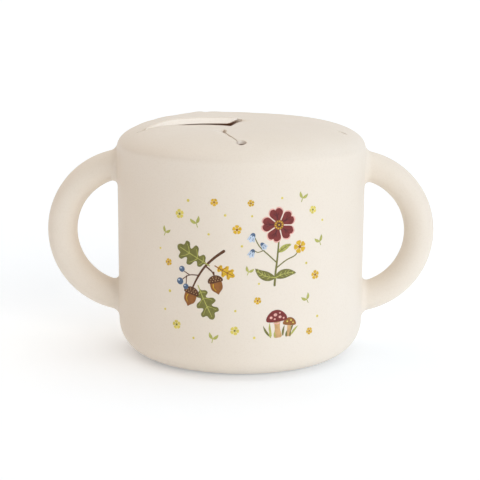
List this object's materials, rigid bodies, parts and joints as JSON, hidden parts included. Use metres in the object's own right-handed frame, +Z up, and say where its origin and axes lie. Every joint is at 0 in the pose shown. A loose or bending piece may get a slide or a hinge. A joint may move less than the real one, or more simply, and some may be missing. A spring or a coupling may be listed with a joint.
{
  "type": "toddler snack container",
  "caption": "Round soft silicone snack cup with a loop handle on each side and a lift-off lid whose star of slits makes flaps that a small hand reaches through.",
  "frame": {"origin": "on the standing surface, in the middle of the cup", "axes": "+Z up, +X from the left handle to the right handle, -Y the front, which the relief hole of one slit points to"},
  "size_m": [0.1336, 0.085, 0.0807],
  "materials": {
    "cup_silicone": "matte cream silicone with a fine satin moulded surface",
    "lid_silicone": "matte cream silicone with a fine satin moulded surface"
  },
  "bodies": {
    "cup": {"cup_body": "cup_silicone", "handle_left": "cup_silicone", "handle_right": "cup_silicone"},
    "lid": {"lid_ring": "lid_silicone"},
    "flap_front_left": {"flap_front_left": "lid_silicone"},
    "flap_front_right": {"flap_front_right": "lid_silicone"},
    "flap_right": {"flap_right": "lid_silicone"},
    "flap_rear": {"flap_rear": "lid_silicone"},
    "flap_rear_left": {"flap_rear_left": "lid_silicone"}
  },
  "joints": [
    {"name": "lid_lift", "type": "slide", "parent": "cup", "child": "lid", "axis": [0, 0, 1], "range_m": [0, 0.04]},
    {"name": "bend_front_left", "type": "hinge", "parent": "lid", "child": "flap_front_left", "pos_m": [-0.01688, -0.02324, 0.0776], "axis": [0.809, -0.5878, 0], "range_deg": [-60, 40], "stiffness_Nm_per_rad": 0.012},
    {"name": "bend_front_right", "type": "hinge", "parent": "lid", "child": "flap_front_right", "pos_m": [0.01688, -0.02324, 0.0776], "axis": [0.809, 0.5878, 0], "range_deg": [-60, 40], "stiffness_Nm_per_rad": 0.012},
    {"name": "bend_right", "type": "hinge", "parent": "lid", "child": "flap_right", "pos_m": [0.02731, 0.00887, 0.0776], "axis": [-0.309, 0.9511, 0], "range_deg": [-60, 40], "stiffness_Nm_per_rad": 0.012},
    {"name": "bend_rear", "type": "hinge", "parent": "lid", "child": "flap_rear", "pos_m": [0, 0.02872, 0.0776], "axis": [-1, 0, 0], "range_deg": [-60, 40], "stiffness_Nm_per_rad": 0.012},
    {"name": "bend_rear_left", "type": "hinge", "parent": "lid", "child": "flap_rear_left", "pos_m": [-0.02731, 0.00887, 0.0776], "axis": [-0.309, -0.9511, 0], "range_deg": [-60, 40], "stiffness_Nm_per_rad": 0.012}
  ]
}
